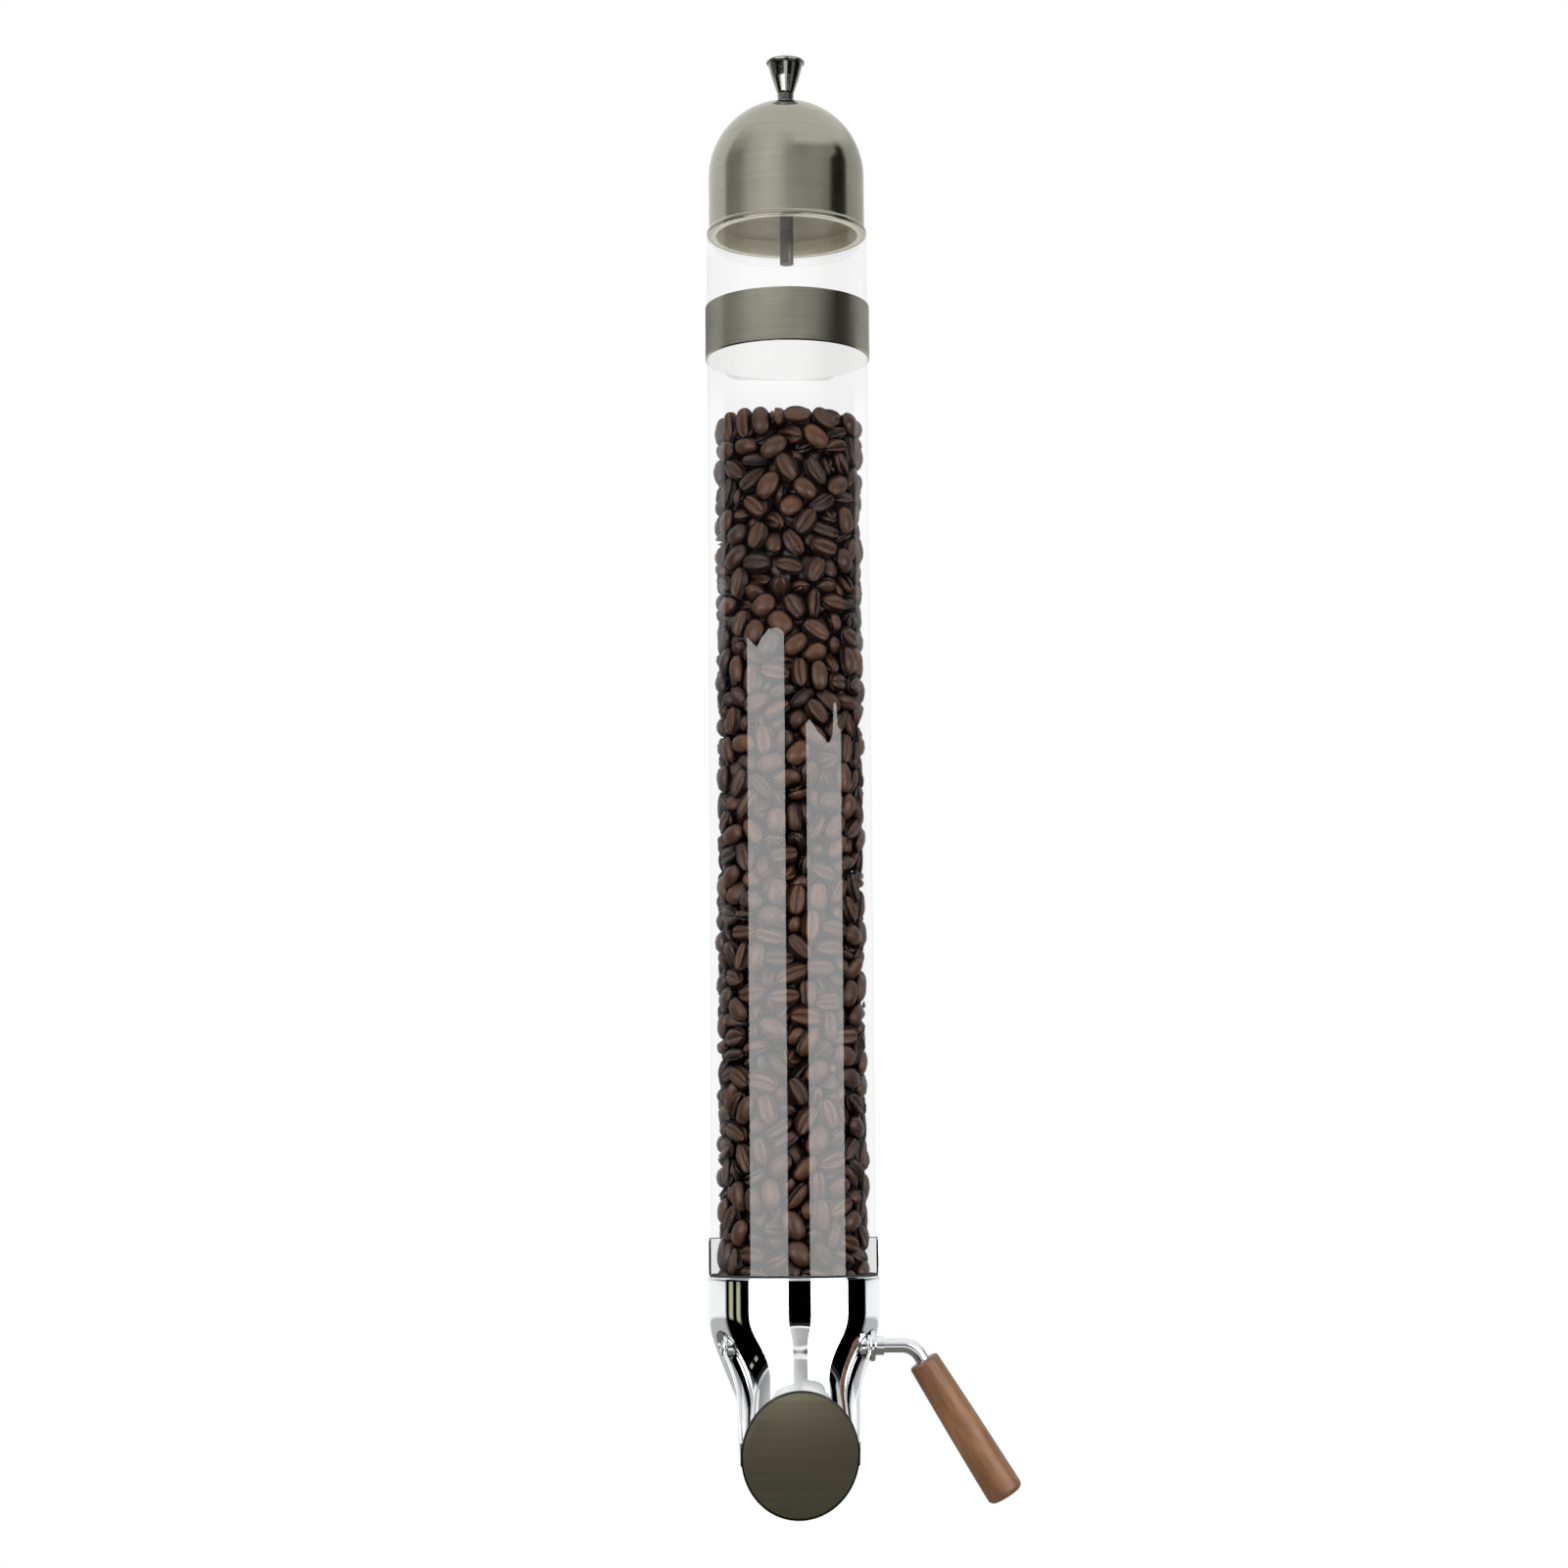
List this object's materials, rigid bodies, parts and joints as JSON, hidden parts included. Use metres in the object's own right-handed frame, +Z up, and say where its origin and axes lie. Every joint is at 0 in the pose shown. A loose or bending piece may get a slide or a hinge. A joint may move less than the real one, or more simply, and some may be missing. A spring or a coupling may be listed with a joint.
{
  "type": "gravity bulk food bin",
  "caption": "Slim wall-hung bean silo: glass tube in a cast chute with a gravity-closing flap worked by a wood-gripped lever, and a lift-off dome lid.",
  "frame": {"origin": "middle of the lower wall plate's two screw holes, in the plane of the wall", "axes": "+X to the lever's side, +Y into the wall, +Z up along the glass tube"},
  "size_m": [0.1295, 0.0997, 0.6302],
  "materials": {
    "tube_glass": "clear borosilicate",
    "gasket_rubber": "matt black",
    "brushed_nickel": "brushed round the band",
    "clear_silicone": "translucent",
    "fastener_steel": "plain zinc",
    "plate_steel": "satin",
    "mirror_chrome": "polished mirror",
    "bush_plastic": "natural acetal",
    "roasted_beans": "dark roast, slightly oily",
    "flap_steel": "brushed across",
    "rod_chrome": "polished",
    "grip_wood": "oiled walnut",
    "dome_steel": "brushed round the dome",
    "knob_steel": "turned",
    "stem_steel": "dark, plain"
  },
  "bodies": {
    "housing": {"glass_tube": "tube_glass", "tube_gasket": "gasket_rubber", "band_clamp": "brushed_nickel", "band_liner": "clear_silicone", "clamp_bolt": "fastener_steel", "clamp_nut": "fastener_steel", "upper_wall_plate": "plate_steel", "chute_body": "mirror_chrome", "lower_wall_plate": "plate_steel", "peg_grub_screw": "fastener_steel", "pivot_bushes": "bush_plastic", "stop_pins": "fastener_steel", "bean_column": "roasted_beans", "chute_beans": "roasted_beans"},
    "gate": {"flap": "flap_steel", "flap_seal": "gasket_rubber", "arm_left": "mirror_chrome", "arm_right": "mirror_chrome", "lever_rod": "rod_chrome", "rod_collar": "rod_chrome", "arm_end_screw": "fastener_steel", "grip": "grip_wood"},
    "lid": {"lid_dome": "dome_steel", "lid_knob": "knob_steel", "lid_stem": "stem_steel", "lid_washer": "stem_steel", "lid_ring": "dome_steel", "lid_plug": "clear_silicone"}
  },
  "joints": [
    {"name": "gate_hinge", "type": "hinge", "parent": "housing", "child": "gate", "pos_m": [0, -0.068, -0.0106], "axis": [-1, 0, 0], "range_deg": [0, 60]},
    {"name": "lid_lift", "type": "slide", "parent": "housing", "child": "lid", "axis": [0, 0, 1], "range_m": [0, 0.08]}
  ]
}
